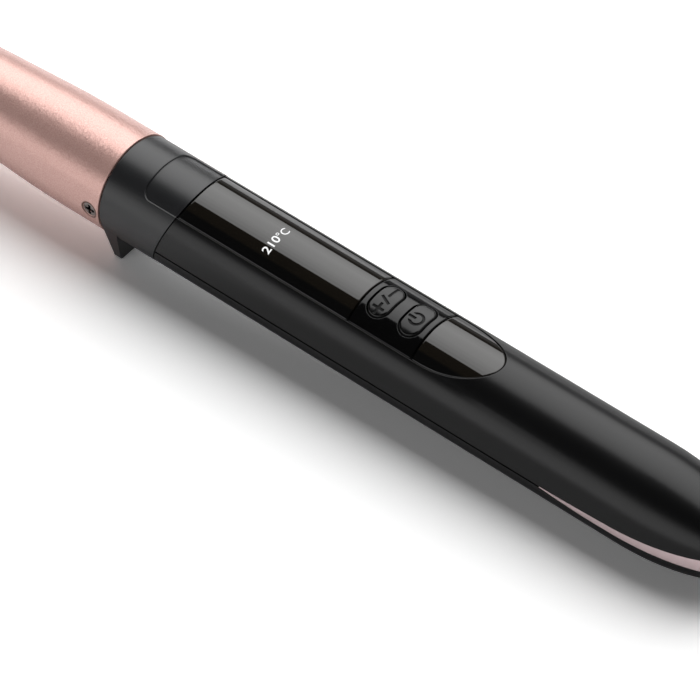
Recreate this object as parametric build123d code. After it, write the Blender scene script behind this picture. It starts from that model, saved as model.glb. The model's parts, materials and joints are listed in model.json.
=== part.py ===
"""Conical curling wand with a fixed rest foot, a lit readout, two keys and a turning cord outlet.

Everything is modelled along the wand's own axis: x = 0 is the seam between barrel and collar, +X runs
to the tail, -X to the barrel's tip, and +Z points up through the readout. At the end every piece is
tilted alike, so that the foot and the tail stand on the plane Z = 0.
"""
from build123d import *
from math import atan, cos, degrees, hypot, radians, sin, sqrt, tan
import os

# Driving sizes, in millimetres and degrees: the heated barrel and its tip
barrel_base_diameter = 25.0
barrel_tip_diameter = 13.0
barrel_length = 135.0
barrel_straight = 20.0
barrel_ease_radius = 300.0
barrel_wall = 1.0
tip_washer_thickness = 0.8
tip_length = 18.0
tip_dome = 9.0
tip_plug_length = 9.0
tip_plug_wall = 1.6

# The heater inside the barrel
spreader_front = 104.0
spreader_rear = 33.0
spreader_wall = 1.4
heater_thickness = 1.2
heater_width = 10.0
heater_margin = 2.0
heater_tab_length = 4.0
heater_tab_width = 2.0
mica_thickness = 0.4
mica_overhang = 1.2
sensor_diameter = 2.4
sensor_length = 6.0
fuse_diameter = 3.4
fuse_length = 9.0
shield_thickness = 0.8

# The insulating seat that carries the barrel, and its two side screws
seat_reach = 15.0
seat_shoulder = 7.5
seat_bore_diameter = 14.0
seat_flange_length = 2.0
seat_lip = 0.85
barrel_screw_setback = 2.6
barrel_screw_head = 3.7
barrel_screw_sink = 0.15

# The collar with its rest foot
collar_step = 0.2
collar_middle = 16.85
collar_slant = 19.0
collar_wall = 1.55
tongue_front = 9.7
tongue_corner = 2.3
tongue_sink = 0.35
tongue_edge_radius = 0.25
foot_drop = 17.1
foot_rear = 2.05
foot_lean = 10.8
foot_flank = 15.0
foot_corner = 1.2

# The handle shells and the trim along their parting line
handle_step = 0.05
shell_wall = 2.2
parting_drop = 0.95
tail_start = 143.7
tail_reach = 31.0
tail_length = 25.3
trim_front = 124.8
trim_nose = 0.3
trim_swell = 1.05
trim_rise = 3.25
trim_dip_from_tail = 3.7
trim_dip = 1.1
trim_end_dip = 0.4
trim_depth = 1.5
trim_ring = 1.8
shell_screw_head = 4.4
shell_screw_shank = 2.4
shell_screw_length = 12.0
shell_boss_wall = 1.9
shell_pocket_wall = 1.1
shell_screw_behind_inlay = 11.6
shell_screw_before_tail = 9.7

# The glossy inlay on top of the handle
inlay_half_width = 8.0
inlay_sink = 0.15
inlay_thickness = 1.15
inlay_edge_radius = 0.4
inlay_front_gap = 0.4
lens_end = 68.8
button_plate_length = 17.7
rear_inlay_length = 18.4
rear_inlay_round = 15.9
inlay_ledge = 1.9
inlay_end_ledge = 0.3

# The temperature rocker and the power button
button_width = 5.3
button_length = 9.6
button_proud = 0.2
button_edge_radius = 0.5
rocker_from_lens = 4.5
button_pitch = 8.7
rocker_pivot_drop = 1.95
rocker_pin_diameter = 1.2
rocker_lug_thickness = 0.8
rocker_lug_wall = 0.85
rocker_leg_spread = 3.2
button_leg = 1.5
power_flange = 0.75
power_flange_thickness = 0.7
dome_drop = 2.95
dome_height = 2.0
dome_diameter = 3.6
dome_wall = 0.5
icon_depth = 0.25
icon_stroke = 0.65
icon_size = 3.0
plus_place = -2.85
slash_place = -0.3
minus_place = 2.6
minus_length = 3.6
slash_turn = 65.0
power_sign_radius = 1.55
power_sign_place = -0.4

# The control board and what is soldered to it
board_thickness = 1.6
board_side_gap = 0.45
board_front_gap = 0.8
board_behind_inlay = 7.0
board_boss_diameter = 4.6
board_boss_from_lens = 16.8
board_boss_behind_inlay = 2.1
board_screw_head = 3.6
board_screw_shank = 1.8
display_from_lens = 26.8
display_length = 9.0
display_width = 9.6
display_drop = 1.85
chip_size = 6.0
chip_thickness = 1.2
capacitor_length = 13.0
capacitor_width = 6.0
capacitor_height = 9.0
triac_length = 10.0
triac_thickness = 4.4
triac_height = 8.5
terminal_size = 4.4
terminal_length = 6.5
connector_length = 4.5
connector_width = 4.0
connector_height = 2.6

# The leads inside
heater_lead_diameter = 1.8
heater_lead_spread = 3.2
sensor_lead_diameter = 0.9
sensor_lead_spread = 0.6
supply_lead_diameter = 1.6
supply_lead_spread = 4.7

# The turning cord outlet, its slip rings and brushes
outlet_diameter = 10.4
outlet_reach = 4.2
outlet_edge_radius = 1.2
cord_bore_diameter = 6.6
cord_bore_length = 16.0
outlet_flange_diameter = 14.0
outlet_flange_thickness = 2.3
thrust_rib = 2.6
thrust_pocket = 3.0
bulkhead_from_tail = 13.3
stem_diameter = 6.4
stem_bore_diameter = 3.0
stem_length = 12.6
slip_ring_diameter = 8.4
slip_ring_width = 2.0
slip_ring_pitch = 5.0
brush_thickness = 0.3
brush_width = 1.5
brush_gap = 0.1
brush_rise = 2.0
brush_block_clear = 1.2
brush_block_lift = 2.25
brush_block_side_gap = 0.5

# Clearances
seam = 0.25
parting_gap = 0.45
fit = 0.05
running = 0.06
button_gap = 0.4
inlay_gap = 0.2
rest_gap = 0.1
screw_end_room = 1.0

# Sizes that follow from the ones above
barrel_radius = barrel_base_diameter / 2
tip_radius = barrel_tip_diameter / 2
barrel_bore = barrel_radius - barrel_wall
collar_radius = barrel_radius - collar_step
collar_bore = collar_radius - collar_wall
handle_radius = collar_radius - handle_step
shell_bore = handle_radius - shell_wall
spigot_bore = shell_bore - seat_lip
inlay_top = handle_radius - inlay_sink
inlay_bore = inlay_top - inlay_thickness
key_top = inlay_top + button_proud
parting_height = -parting_drop
tail_end = tail_start + tail_length
trim_ring_front = tail_end - trim_ring
plate_end = lens_end + button_plate_length
inlay_tip = plate_end + rear_inlay_length
rocker_x = lens_end + rocker_from_lens
power_x = rocker_x + button_pitch
pivot_height = inlay_bore - rocker_pivot_drop
dome_top = inlay_bore - dome_drop
board_top = dome_top - dome_height
board_bottom = board_top - board_thickness
seat_flange_front = collar_middle + collar_radius * tan(radians(collar_slant)) + 2 * seat_flange_length
seat_end = seat_flange_front + seat_flange_length
board_front = seat_end + board_front_gap
board_rear = inlay_tip + board_behind_inlay
display_x = lens_end - display_from_lens
board_boss_places = (lens_end - board_boss_from_lens, inlay_tip + board_boss_behind_inlay)
shell_screw_places = (inlay_tip + shell_screw_behind_inlay, tail_start - shell_screw_before_tail)
heater_gap = heater_thickness / 2 + mica_thickness + fit
bulkhead = tail_start + bulkhead_from_tail
pocket_front = bulkhead - thrust_pocket
rib_front = pocket_front - thrust_rib
stem_front = rib_front - stem_length
brush_block_top = -slip_ring_diameter / 2 - brush_block_clear
brush_block_bottom = brush_block_lift - shell_bore
reach = 400.0


# Shapes that many pieces share

def bar(x_span, y_span, z_span):
    """A block between two limits along each axis."""
    sizes = [high - low for low, high in (x_span, y_span, z_span)]
    centre = [(high + low) / 2 for low, high in (x_span, y_span, z_span)]
    return Pos(*centre) * Box(*sizes)


def both_ways(width):
    """The limits of a width that is shared evenly between the two sides."""
    return (-width / 2, width / 2)


def rod(start, end, radius, y=0.0, z=0.0):
    """A round bar along the wand's axis, from one x to another."""
    upright = Cylinder(radius, end - start, align=(Align.CENTER, Align.CENTER, Align.MIN))
    return Pos(start, y, z) * Rot(0, 90, 0) * upright


def post(x, y, bottom, top, radius):
    """An upright round bar."""
    return Pos(x, y, bottom) * Cylinder(radius, top - bottom, align=(Align.CENTER, Align.CENTER, Align.MIN))


def turned(*corners):
    """A solid turned about the wand's axis from (x, radius) corners."""
    return revolve(make_face(Polyline(*corners, close=True)), Axis.X)


def barrel_cone(inset, front, rear):
    """The barrel's form, drawn in by an inset, between two distances from its base."""
    wall = FilletPolyline((0, barrel_radius - inset), (-barrel_straight, barrel_radius - inset),
                          (-barrel_length, tip_radius - inset), radius=barrel_ease_radius)
    ends = Polyline(wall @ 1, (-barrel_length, 0), (0, 0), wall @ 0)
    whole = revolve(make_face(wall + ends), Axis.X)
    return whole & bar((-front, -rear), (-reach, reach), (-reach, reach))


def handle_form(inset, front, rear):
    """The handle's form, drawn in by an inset: a cylinder that rounds off as half an ellipse."""
    radius = handle_radius - inset
    profile = Sketch()
    if front < tail_start:
        straight_end = min(rear, tail_start)
        profile += Pos(front, 0) * Rectangle(straight_end - front, radius, align=(Align.MIN, Align.MIN))
    if rear > tail_start:
        round_front = max(front, tail_start)
        window = Pos(round_front, 0) * Rectangle(rear - round_front, radius, align=(Align.MIN, Align.MIN))
        profile += (Pos(tail_start, 0) * Ellipse(tail_reach - inset, radius)) & window
    return revolve(profile, Axis.X)


def behind_seam(gap):
    """All space to the tail side of the slanted seam between collar and handle."""
    block = Box(reach, reach, reach, align=(Align.MIN, Align.CENTER, Align.CENTER))
    return Pos(collar_middle + gap, 0, 0) * Rot(0, collar_slant, 0) * block


def above(height):
    """All space above a level."""
    return bar((-reach, reach), (-reach, reach), (height, reach))


def below(height):
    """All space below a level."""
    return bar((-reach, reach), (-reach, reach), (-reach, height))


def rim_edges(piece, radius):
    """The edges of a piece that lie on a cylinder about the wand's axis."""
    def on_cylinder(edge):
        return all(abs(hypot(point.Y, point.Z) - radius) < 0.01 for point in (edge @ 0, edge @ 0.4, edge @ 1))
    return piece.edges().filter_by(on_cylinder)


def lead(points, diameter):
    """An insulated wire along straight runs joined by arcs, each as large as its runs allow."""
    corners = [Vector(*point) for point in points]
    radii = []
    for before, corner, after in zip(corners, corners[1:], corners[2:]):
        turn = radians((corner - before).get_angle(after - corner))
        shorter_run = min((corner - before).length, (after - corner).length)
        radii.append(0.45 * shorter_run / tan(turn / 2))
    path = FilletPolyline(*corners, radius=radii)
    return sweep(Plane(origin=path @ 0, z_dir=path % 0) * Circle(diameter / 2), path=path)


def cross_recess(size, depth):
    """The cross slot of a screw head whose top is at the level Z = 0."""
    slot = bar((-size / 2, size / 2), (-size / 8, size / 8), (-depth, depth))
    return slot + Rot(0, 0, 90) * slot


def pan_screw(head, shank, length):
    """A screw that points down, with the underside of its head at Z = 0."""
    head_height = head * 0.36
    cap = fillet(post(0, 0, 0, head_height, head / 2).edges().group_by(Axis.Z)[-1], head_height * 0.4)
    body = cap + post(0, 0, -length, 0, shank / 2)
    return body - Pos(0, 0, head_height) * cross_recess(head * 0.55, head_height * 0.6)


# The heated barrel

def barrel_screw_hole():
    """The countersunk way through the barrel's wall, for a screw that points down from Z = 0."""
    top = barrel_screw_head / 2 + fit
    throat = barrel_screw_head / 4 + fit
    cone = Cone(throat, top, top - throat, align=(Align.CENTER, Align.CENTER, Align.MAX))
    mouth = post(0, 0, -barrel_screw_sink, barrel_wall, top)
    return Pos(0, 0, -barrel_screw_sink) * cone + mouth + post(0, 0, -barrel_radius / 2, 0, throat)


def side_screw_seats():
    """Where the two side screws sit: one on each flank of the barrel, heads outward."""
    flank = Pos(-barrel_screw_setback, -barrel_radius, 0) * Rot(90, 0, 0)
    return [flank, Rot(180, 0, 0) * flank]


def make_barrel():
    tube = barrel_cone(0, barrel_length, 0) - barrel_cone(barrel_wall, barrel_length, 0)
    for seat in side_screw_seats():
        tube -= seat * barrel_screw_hole()
    return tube


def make_barrel_screws():
    length = barrel_radius - seat_bore_diameter / 2 - barrel_screw_sink
    shank = barrel_screw_head / 4
    head = Cone(shank, barrel_screw_head / 2, barrel_screw_head / 2 - shank,
                align=(Align.CENTER, Align.CENTER, Align.MAX))
    screw = head + post(0, 0, -length, 0, shank)
    screw -= cross_recess(barrel_screw_head * 0.62, (barrel_screw_head / 2 - shank) * 0.8)
    return [seat * Pos(0, 0, -barrel_screw_sink) * screw for seat in side_screw_seats()]


def make_tip_washer():
    front = -barrel_length - tip_washer_thickness
    return rod(front, -barrel_length, tip_radius) - rod(front, -barrel_length, tip_radius - barrel_wall)


def make_cool_tip():
    back = -barrel_length - tip_washer_thickness
    shoulder = back - tip_length + tip_dome
    quarter = Pos(shoulder, 0) * Rectangle(tip_dome, tip_radius, align=(Align.MAX, Align.MIN))
    dome = revolve((Pos(shoulder, 0) * Ellipse(tip_dome, tip_radius)) & quarter, Axis.X)
    plug_radius = tip_radius - barrel_wall - fit
    plug_end = -barrel_length + tip_plug_length
    body = dome + rod(shoulder, back, tip_radius) + rod(back, plug_end, plug_radius)
    return body - rod(shoulder, plug_end, plug_radius - tip_plug_wall)


# The heater

def make_heat_spreader():
    """A D-shaped channel that fills the upper half of the barrel."""
    outer = barrel_cone(barrel_wall + fit, spreader_front, spreader_rear) & above(heater_gap)
    hollow = barrel_cone(barrel_wall + fit + spreader_wall, spreader_front, spreader_rear)
    return outer - (hollow & above(heater_gap + spreader_wall))


def make_heater_plate():
    front = -spreader_front + heater_margin
    rear = -spreader_rear - heater_margin
    plate = bar((front, rear), both_ways(heater_width), both_ways(heater_thickness))
    for side in (-heater_lead_spread, heater_lead_spread):
        tab_sides = (side - heater_tab_width / 2, side + heater_tab_width / 2)
        plate += bar((rear, rear + heater_tab_length), tab_sides, both_ways(heater_thickness / 2))
    return plate


def make_mica_sheets():
    half = heater_width / 2 + mica_overhang
    sheets = []
    for low in (heater_thickness / 2, -heater_thickness / 2 - mica_thickness):
        sheets.append(bar((-spreader_front, -spreader_rear), (-half, half), (low, low + mica_thickness)))
    return sheets


def make_thermistor():
    height = heater_gap + spreader_wall + fit + sensor_diameter / 2
    bead = rod(-spreader_rear - sensor_length, -spreader_rear, sensor_diameter / 2, z=height)
    return fillet(bead.edges().group_by(Axis.X)[0], sensor_diameter * 0.4)


def fuse_front():
    return -spreader_rear - heater_margin + heater_tab_length


def make_thermal_fuse():
    body = rod(fuse_front(), fuse_front() + fuse_length, fuse_diameter / 2, y=heater_lead_spread)
    return fillet(body.edges(), fuse_diameter * 0.15)


def make_heat_shield():
    disc = rod(-seat_reach - shield_thickness, -seat_reach, barrel_bore - 2 * fit)
    for side in (-heater_lead_spread, heater_lead_spread):
        disc -= rod(-reach, 0, heater_lead_diameter / 2 + fit, y=side)
    for side in (-sensor_lead_spread, sensor_lead_spread):
        disc -= rod(-reach, 0, sensor_lead_diameter / 2 + fit, y=side, z=sensor_lead_height())
    return disc


# The seat and the collar

def make_barrel_seat():
    neck = spigot_bore - fit
    bore = seat_bore_diameter / 2
    flange = shell_bore - fit
    sleeve = turned((-seat_reach, bore), (-seat_reach, barrel_bore - fit), (0, barrel_bore - fit),
                    (0, collar_bore - fit), (seat_shoulder, collar_bore - fit), (seat_shoulder, neck),
                    (seat_flange_front, neck), (seat_flange_front, flange), (seat_end, flange),
                    (seat_end, bore))
    for seat in side_screw_seats():
        sleeve -= seat * post(0, 0, -barrel_radius, 0, barrel_screw_head / 4 + fit)
    return sleeve


def foot_keel():
    """The keel that runs down from the collar's sides, longer than needed at its lower edge."""
    lean = tan(radians(foot_lean))
    low = -foot_drop - foot_corner
    side_view = make_face(Polyline((seam, 0), (seam, low), (foot_rear - foot_corner * lean, low),
                                   (foot_rear + foot_drop * lean, 0), close=True))
    blade = extrude(Plane.XZ * side_view, collar_radius, both=True)
    flank = radians(foot_flank)
    half = (collar_radius - fit) * cos(flank)
    start = -(collar_radius - fit) * sin(flank)
    sole = -foot_drop - (foot_rear - seam) * rest_slope()
    lower_half = half - (start - sole) * tan(flank)
    outline = FilletPolyline((-half, start), (-lower_half, sole), (lower_half, sole), (half, start),
                             radius=foot_corner)
    front_view = make_face(outline + Line((half, start), (-half, start)))
    return blade & extrude(Plane.YZ * front_view, reach, both=True)


def tongue_outline():
    """The rounded tongue sunk into the collar, seen from above."""
    length = 2 * collar_middle
    return Pos(tongue_front + length / 2, 0) * RectangleRounded(length, 2 * inlay_half_width, tongue_corner)


def rest_slope():
    """Slope of the line that touches the foot's edge and the rounded tail from below."""
    run = tail_start - foot_rear
    lever = foot_drop * run
    span = run ** 2 - tail_reach ** 2
    return (lever - sqrt(lever ** 2 - span * (foot_drop ** 2 - handle_radius ** 2))) / span


def rest_tilt():
    return degrees(atan(rest_slope()))


def make_collar():
    ring = rod(seam, reach, collar_radius)
    ring = fillet(ring.edges().group_by(Axis.X)[0], seam)
    ring -= extrude(tongue_outline(), reach) - rod(-reach, reach, collar_radius - tongue_sink)
    brink = rim_edges(ring, collar_radius).filter_by_position(Axis.X, tongue_front, 3 * collar_middle)
    ring = fillet(brink, tongue_edge_radius) - behind_seam(0)
    floor = Box(reach, reach, reach, align=(Align.CENTER, Align.CENTER, Align.MAX))
    foot = foot_keel() - Pos(foot_rear, 0, -foot_drop) * Rot(0, -rest_tilt(), 0) * floor
    return ring + foot - rod(-reach, reach, collar_bore)


# The handle

def trim_wedge(margin):
    """The crescent along the parting line, seen from the side and grown by a margin."""
    front, rear = trim_front - margin, trim_ring_front + margin
    top, bottom = parting_height + margin, parting_height - margin
    upper = ThreePointArc((front, top + trim_nose / 2), (tail_start, top + trim_swell),
                          (rear, top + trim_rise))
    lower = TangentArc((tail_start - trim_dip_from_tail, bottom - trim_dip), (front, bottom - trim_nose / 2),
                       tangent=(-1, 0))
    end = Polyline(upper @ 1, (rear, bottom - trim_end_dip), lower @ 0)
    face = make_face(upper + end + lower + Line(lower @ 1, upper @ 0))
    return extrude(Plane.XZ * face, reach, both=True)


def make_tail_trim():
    skin = handle_form(0, 0, trim_ring_front) - handle_form(trim_depth, 0, trim_ring_front)
    ring = handle_form(0, trim_ring_front, tail_end) - rod(0, reach, outlet_diameter / 2 + rest_gap)
    return (skin & trim_wedge(0)) + ring


def handle_case():
    """Both shells as one hollow body, before it is parted."""
    rear = trim_ring_front - rest_gap
    spigot_front = seat_shoulder + fit
    outside = handle_form(0, 0, rear) & behind_seam(seam)
    spigot = rod(spigot_front, seat_flange_front, collar_bore - fit)
    case = outside + spigot
    case -= rod(spigot_front, seat_flange_front - fit, spigot_bore)
    case -= handle_form(shell_wall, seat_flange_front - fit, rib_front)
    case -= handle_form(shell_wall, pocket_front, bulkhead)
    case -= rod(rib_front, pocket_front, stem_diameter / 2 + seam)
    case -= rod(bulkhead, reach, outlet_diameter / 2 + running)
    groove = trim_wedge(fit) - handle_form(trim_depth + fit, 0, tail_end)
    return case - groove


def inlay_outline(margin):
    """The inlay from the collar's seam to its rounded end, seen from above and grown by a margin."""
    half = inlay_half_width + margin
    round_centre = inlay_tip - rear_inlay_round
    strip = Rectangle(round_centre, 2 * half, align=(Align.MIN, Align.CENTER))
    return strip + Pos(round_centre, 0) * Ellipse(rear_inlay_round + margin, half)


def shell_screw_level():
    """Height of the shoulder under the shell screws' heads."""
    return parting_height - shell_screw_length / 2


def make_upper_shell():
    case = handle_case() & above(parting_height + parting_gap / 2)
    recess = extrude(inlay_outline(inlay_gap), reach) - rod(-reach, reach, inlay_bore - fit)
    for x in board_boss_places:
        case += post(x, 0, board_top, (shell_bore + inlay_bore) / 2, board_boss_diameter / 2)
        case -= post(x, 0, board_top, shell_bore, board_screw_shank / 2 + fit)
    for x in shell_screw_places:
        boss_radius = shell_screw_shank / 2 + shell_boss_wall
        boss = post(x, 0, parting_height + parting_gap / 2, shell_bore + fit, boss_radius)
        pilot_end = shell_screw_level() + shell_screw_length + screw_end_room
        case += boss - post(x, 0, parting_height, pilot_end, shell_screw_shank / 2 + fit)
    display_window = (both_ways(display_length + 2 * button_gap), both_ways(display_width + 2 * button_gap))
    case -= Pos(display_x, 0, 0) * bar(*display_window, (board_top, reach))
    key_span = (lens_end + inlay_end_ledge, plate_end - inlay_end_ledge)
    case -= bar(key_span, both_ways(2 * (inlay_half_width - inlay_ledge)), (board_top, reach))
    return case - recess


def make_lower_shell():
    case = handle_case() & below(parting_height - parting_gap / 2)
    inside = handle_form(shell_wall / 2, 0, tail_end)
    for x in shell_screw_places:
        top = parting_height - parting_gap / 2
        case += post(x, 0, -handle_radius, top, shell_screw_head / 2 + seam + shell_pocket_wall) & inside
        case -= post(x, 0, -handle_radius, top, shell_screw_shank / 2 + seam)
        case -= post(x, 0, -2 * handle_radius, shell_screw_level(), shell_screw_head / 2 + seam)
    return case


def make_shell_screws():
    screw = Rot(180, 0, 0) * pan_screw(shell_screw_head, shell_screw_shank, shell_screw_length)
    return [Pos(x, 0, shell_screw_level()) * screw for x in shell_screw_places]


# The inlay

def inlay_piece(front, rear):
    """One piece of the glossy inlay between two places along the handle."""
    sheet = extrude(inlay_outline(0), reach) & bar((front, rear), (-reach, reach), (0, reach))
    return sheet & (rod(0, reach, inlay_top) - rod(0, reach, inlay_bore)) & behind_seam(inlay_front_gap)


def rounded_inlay(piece):
    return fillet(rim_edges(piece, inlay_top), inlay_edge_radius)


def make_display_lens():
    return rounded_inlay(inlay_piece(0, lens_end - seam / 2))


def make_rear_inlay():
    return rounded_inlay(inlay_piece(plate_end + seam / 2, reach))


def button_outline(x, margin):
    """A key's pill shape across the handle, seen from above and grown by a margin."""
    return Pos(x, 0) * SlotOverall(button_length + 2 * margin, button_width + 2 * margin, rotation=90)


def lug_spans():
    """Where the two lugs that carry the rocker stand along the handle."""
    inner = button_width / 2 + button_gap + rest_gap
    outer = inner + rocker_lug_thickness
    return [(rocker_x - outer, rocker_x - inner), (rocker_x + inner, rocker_x + outer)]


def make_button_plate():
    plate = rounded_inlay(inlay_piece(lens_end + seam / 2, plate_end - seam / 2))
    for x in (rocker_x, power_x):
        plate -= extrude(button_outline(x, button_gap), reach)
    half = rocker_pin_diameter / 2 + rocker_lug_wall
    for span in lug_spans():
        lug = bar(span, (-half, half), (pivot_height, inlay_bore + inlay_thickness / 2))
        lug += rod(*span, half, z=pivot_height)
        plate += lug - rod(*span, rocker_pin_diameter / 2 + fit, z=pivot_height)
    return plate


# The keys

def key_cap(x):
    """A pill-shaped key cap that follows the handle's curve, with a softened rim."""
    cap = extrude(button_outline(x, 0), reach) & (rod(0, reach, key_top) - rod(0, reach, inlay_bore - fit))
    return fillet(rim_edges(cap, key_top), button_edge_radius)


def icon_cut(strokes):
    """Engraved signs: what lies under the strokes, down to the engraving's depth."""
    return extrude(strokes, reach) - rod(0, reach, key_top - icon_depth)


def temperature_signs():
    """A plus at the near end, a slash between and a minus at the far end."""
    stroke = Rectangle(icon_stroke, icon_size)
    plus = Pos(0, plus_place) * (stroke + Rot(0, 0, 90) * stroke)
    slash = Pos(0, slash_place) * Rot(0, 0, slash_turn) * stroke
    minus = Pos(0, minus_place) * Rectangle(icon_stroke, minus_length)
    return Pos(rocker_x, 0) * (plus + slash + minus)


def power_sign():
    """A ring open on its barrel side, with a bar through the opening."""
    radius = power_sign_radius
    ring = Circle(radius + icon_stroke / 2) - Circle(radius - icon_stroke / 2)
    gap = Pos(-radius, 0) * Rectangle(radius, 3 * icon_stroke)
    stroke = Pos(-radius * 0.75, 0) * Rectangle(radius * 1.3, icon_stroke)
    return Pos(power_x, power_sign_place) * (ring - gap + stroke)


def make_temperature_rocker():
    leg_bottom = dome_top + fit
    rocker = key_cap(rocker_x) - icon_cut(temperature_signs())
    across = (rocker_x - button_width / 2 + button_gap, rocker_x + button_width / 2 - button_gap)
    half = rocker_leg_spread + button_leg / 2
    beam = bar(across, (-half, half), (pivot_height - rocker_pin_diameter / 2, inlay_top))
    beam &= extrude(button_outline(rocker_x, -button_gap), reach)
    rocker += beam & rod(0, reach, inlay_bore + inlay_thickness / 3)
    for side in (-rocker_leg_spread, rocker_leg_spread):
        leg = bar(both_ways(button_leg), both_ways(button_leg), (leg_bottom, pivot_height))
        rocker += Pos(rocker_x, side, 0) * leg
    ends = lug_spans()
    return rocker + rod(ends[0][0], ends[1][1], rocker_pin_diameter / 2, z=pivot_height)


def make_power_button():
    button = key_cap(power_x) - icon_cut(power_sign())
    rim = extrude(button_outline(power_x, power_flange), reach)
    top = inlay_bore - rest_gap
    button += rim & (rod(0, reach, top) - rod(0, reach, top - power_flange_thickness))
    button += extrude(button_outline(power_x, -button_gap), reach) & (
        rod(0, reach, inlay_bore + rest_gap) - rod(0, reach, top - power_flange_thickness))
    leg = bar(both_ways(button_leg), both_ways(button_leg), (dome_top + fit, inlay_bore))
    return button + Pos(power_x, 0, 0) * leg


def switch_dome(x, y):
    """A hollow rubber dome that stands on the board under a key."""
    base = dome_diameter / 2
    crown = base * 0.6
    outside = Cone(base, crown, dome_height, align=(Align.CENTER, Align.CENTER, Align.MIN))
    inside = Cone(base - dome_wall, crown - dome_wall, dome_height - 2 * dome_wall,
                  align=(Align.CENTER, Align.CENTER, Align.MIN))
    return Pos(x, y, board_top) * (outside - inside)


def make_rocker_domes():
    return [switch_dome(rocker_x, side) for side in (-rocker_leg_spread, rocker_leg_spread)]


def make_power_dome():
    return switch_dome(power_x, 0)


# The control board

def make_control_board():
    half = sqrt(shell_bore ** 2 - board_top ** 2) - board_side_gap
    board = bar((board_front, board_rear), (-half, half), (board_bottom, board_top))
    for x in board_boss_places:
        board -= post(x, 0, -reach, reach, board_screw_shank / 2 + rest_gap)
    return board


def make_board_screws():
    length = shell_bore - screw_end_room - board_bottom
    screw = Rot(180, 0, 0) * pan_screw(board_screw_head, board_screw_shank, length)
    return [Pos(x, 0, board_bottom) * screw for x in board_boss_places]


def make_display_module():
    block = bar(both_ways(display_length), both_ways(display_width), (board_top, inlay_bore - display_drop))
    return Pos(display_x, 0, 0) * block


def make_microcontroller():
    x = lens_end - chip_size
    chip = bar(both_ways(chip_size), both_ways(chip_size), (board_top, board_top + chip_thickness))
    return Pos(x, 0, 0) * chip


def make_mains_capacitor():
    span = (power_x, power_x + capacitor_length)
    body = bar(span, both_ways(capacitor_width), (board_bottom - capacitor_height, board_bottom))
    return fillet(body.edges().filter_by(Axis.X), capacitor_width * 0.12)


def make_triac():
    x = rocker_x - triac_length
    body = bar((x, x + triac_length), both_ways(triac_thickness), (board_bottom - triac_height, board_bottom))
    tab_hole = Rot(90, 0, 0) * Cylinder(triac_length * 0.17, 2 * triac_thickness)
    return body - Pos(x + triac_length / 2, 0, board_bottom - triac_height * 0.72) * tab_hole


def heater_terminal_front():
    return board_front + 2.2 * connector_length


def supply_terminal_rear():
    return board_boss_places[1] - board_boss_diameter / 2


def terminal(front, side):
    """A soldered clamp under the board that takes one lead."""
    sides = (side - terminal_size / 2, side + terminal_size / 2)
    return bar((front, front + terminal_length), sides, (board_bottom - terminal_size, board_bottom))


def make_heater_terminals():
    return [terminal(heater_terminal_front(), side) for side in (-heater_lead_spread, heater_lead_spread)]


def make_supply_terminals():
    front = supply_terminal_rear() - terminal_length
    return [terminal(front, side) for side in (-supply_lead_spread, supply_lead_spread)]


def make_sensor_connector():
    span = (board_front + connector_length, board_front + 2 * connector_length)
    return bar(span, both_ways(connector_width), (board_bottom - connector_height, board_bottom))


# The leads

def terminal_height():
    return board_bottom - terminal_size / 2


def sensor_lead_height():
    return heater_gap + spreader_wall + fit + sensor_diameter / 2


def make_heater_leads():
    leads = []
    starts = {-heater_lead_spread: fuse_front(), heater_lead_spread: fuse_front() + fuse_length}
    for side, start in starts.items():
        points = [(start, side, 0), (0, side, 0), (seat_end, side, terminal_height()),
                  (heater_terminal_front(), side, terminal_height())]
        leads.append(lead(points, heater_lead_diameter))
    return leads


def make_sensor_leads():
    leads = []
    plug_height = board_bottom - connector_height / 2
    for side in (-sensor_lead_spread, sensor_lead_spread):
        points = [(-spreader_rear, side, sensor_lead_height()), (0, side, sensor_lead_height()),
                  (seat_flange_front, side, plug_height), (board_front + connector_length, side, plug_height)]
        leads.append(lead(points, sensor_lead_diameter))
    return leads


def brush_level():
    """Height of the middle of the brush block."""
    return (brush_block_top + brush_block_bottom) / 2


def make_supply_leads():
    leads = []
    front = supply_terminal_rear()
    run = (stem_front - front) / 4
    for side in (-supply_lead_spread, supply_lead_spread):
        points = [(front, side, terminal_height()), (front + run, side, terminal_height()),
                  (stem_front - run, side, brush_level()), (stem_front, side, brush_level())]
        leads.append(lead(points, supply_lead_diameter))
    return leads


# The turning cord outlet

def make_swivel_sleeve():
    flange_front = pocket_front + (thrust_pocket - outlet_flange_thickness) / 2
    flange_rear = flange_front + outlet_flange_thickness
    nose = tail_end + outlet_reach
    journal = outlet_diameter / 2
    sleeve = rod(flange_rear, nose, journal)
    sleeve = fillet(sleeve.edges().group_by(Axis.X)[-1], outlet_edge_radius)
    sleeve += rod(flange_front, flange_rear, outlet_flange_diameter / 2)
    sleeve += rod(stem_front, flange_front, stem_diameter / 2)
    sleeve -= rod(nose - cord_bore_length, reach, cord_bore_diameter / 2)
    return sleeve - rod(0, reach, stem_bore_diameter / 2)


def slip_ring_places():
    first = stem_front + slip_ring_width
    return [first, first + slip_ring_pitch]


def make_slip_rings():
    hole = rod(0, reach, stem_diameter / 2 + fit / 2)
    return [rod(x, x + slip_ring_width, slip_ring_diameter / 2) - hole for x in slip_ring_places()]


def make_brush_block():
    span = (stem_front, slip_ring_places()[-1] + 1.5 * slip_ring_width)
    half = sqrt((shell_bore - brush_block_side_gap) ** 2 - brush_block_bottom ** 2)
    return bar(span, (-half, half), (brush_block_bottom, brush_block_top))


def make_brush_contacts():
    inner = slip_ring_diameter / 2 + brush_gap
    leaf = (inner, inner + brush_thickness)
    leaves = []
    for x in slip_ring_places():
        middle = x + slip_ring_width / 2
        span = (middle - brush_width / 2, middle + brush_width / 2)
        for sides in (leaf, (-leaf[1], -leaf[0])):
            leaves.append(bar(span, sides, (brush_block_top, brush_rise)))
    return leaves


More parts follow.
